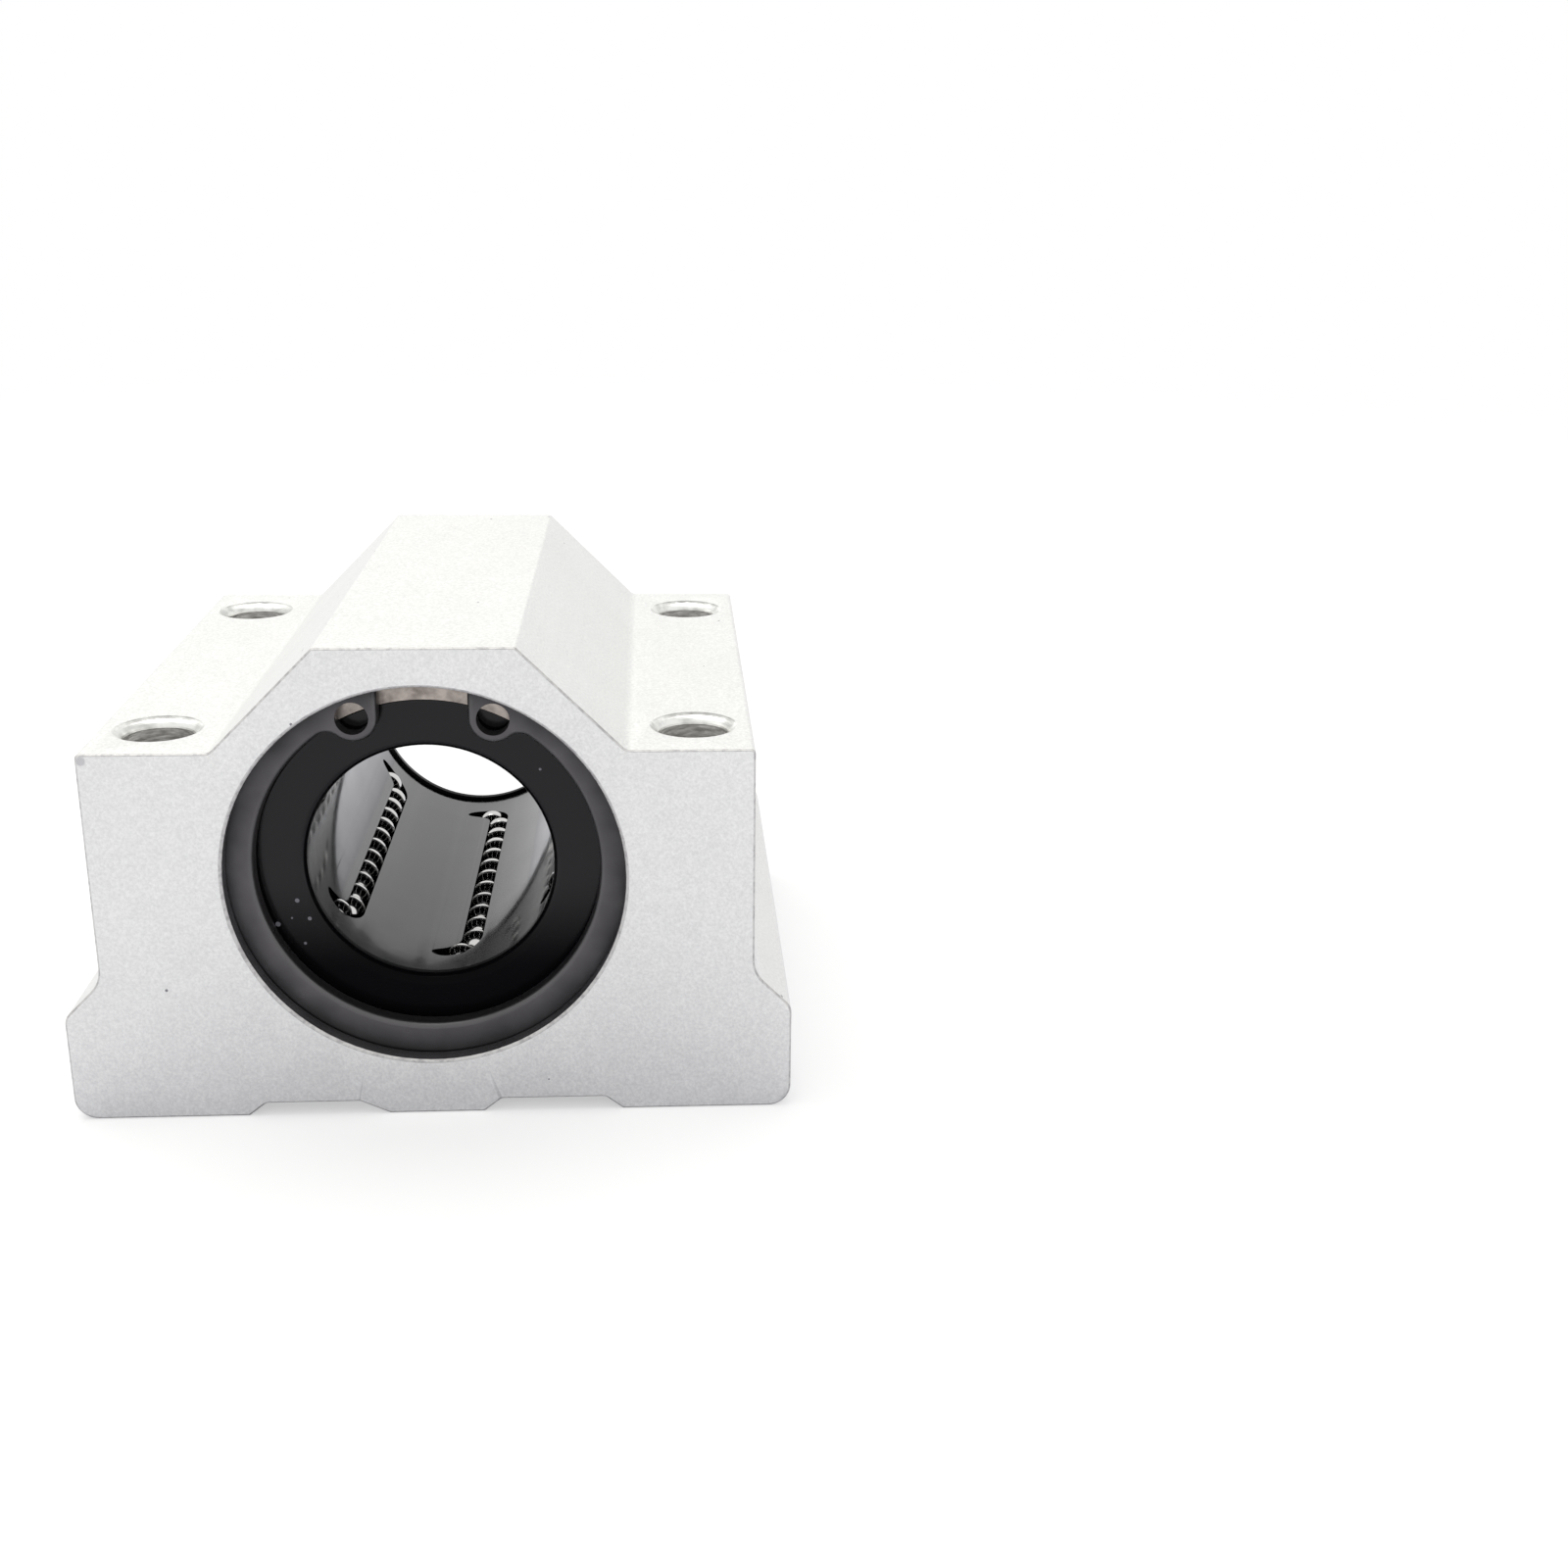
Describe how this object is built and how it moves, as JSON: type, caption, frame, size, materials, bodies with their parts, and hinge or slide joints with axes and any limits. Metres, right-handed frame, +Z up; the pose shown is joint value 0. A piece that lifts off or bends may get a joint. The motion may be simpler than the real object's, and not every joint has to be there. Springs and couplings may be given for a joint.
{
  "type": "linear bearing block",
  "caption": "Closed aluminium pillow block with a recirculating linear ball bearing for a round shaft, tapped from below and drilled through for mounting.",
  "frame": {"origin": "middle of the base, at the height of its feet", "axes": "+Y along the bore towards the rear end, +Z up from the base, +X across the block; the front end, which faces -Y, is the one that the picture shows"},
  "size_m": [0.0738, 0.067, 0.05],
  "materials": {
    "housing_aluminium": "bead blasted and clear anodised, matte",
    "bearing_steel": "hardened and ground",
    "ball_steel": "hardened and polished",
    "cage_resin": "moulded, glossy",
    "seal_rubber": "moulded, satin",
    "snap_ring_steel": "stamped, phosphated and oiled, satin",
    "spring_wire": "drawn spring wire, rolled flat"
  },
  "bodies": {
    "root": {"housing": "housing_aluminium", "bearing_sleeve": "bearing_steel", "ball_cage": "cage_resin", "front_seal": "seal_rubber", "rear_seal": "seal_rubber", "front_cage_ring": "spring_wire", "rear_cage_ring": "spring_wire", "front_snap_ring": "snap_ring_steel", "rear_snap_ring": "snap_ring_steel", "load_balls_1": "ball_steel", "return_balls_1": "ball_steel", "load_balls_2": "ball_steel", "return_balls_2": "ball_steel", "load_balls_3": "ball_steel", "return_balls_3": "ball_steel", "load_balls_4": "ball_steel", "return_balls_4": "ball_steel", "load_balls_5": "ball_steel", "return_balls_5": "ball_steel", "load_balls_6": "ball_steel", "return_balls_6": "ball_steel"}
  },
  "joints": []
}
